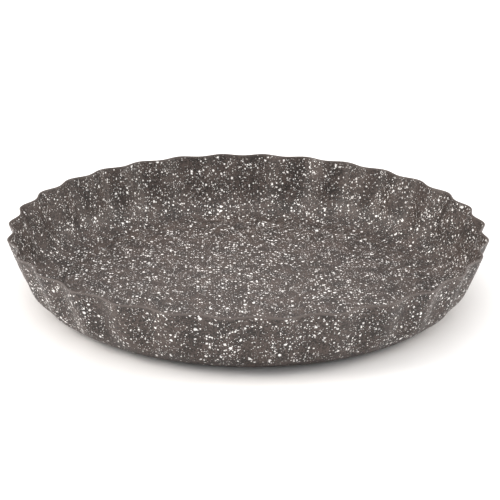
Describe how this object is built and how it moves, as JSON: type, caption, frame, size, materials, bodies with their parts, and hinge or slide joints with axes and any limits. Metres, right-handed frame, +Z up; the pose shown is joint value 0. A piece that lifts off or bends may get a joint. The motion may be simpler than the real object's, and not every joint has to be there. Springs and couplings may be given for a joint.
{
  "type": "tart pan",
  "caption": "Round fluted tart pan in thin coated sheet steel: a leaning wavy wall ring with a turned-in lip, and a loose flat base that lifts out upwards.",
  "frame": {"origin": "on the table, at the centre of the round foot", "axes": "+Z up along the pan's axis, towards the open top; a flute crest is on +X"},
  "size_m": [0.28, 0.2784, 0.0385],
  "materials": {
    "ring_coating": "satin warm-grey non-stick coating with white and pale grey stone flecks",
    "base_coating": "satin warm-grey non-stick coating with white and pale grey stone flecks"
  },
  "bodies": {
    "ring": {"fluted_ring": "ring_coating"},
    "base": {"loose_base": "base_coating"}
  },
  "joints": [
    {"name": "base_lift", "type": "slide", "parent": "ring", "child": "base", "axis": [0, 0, 1], "range_m": [0, 0.06]}
  ]
}
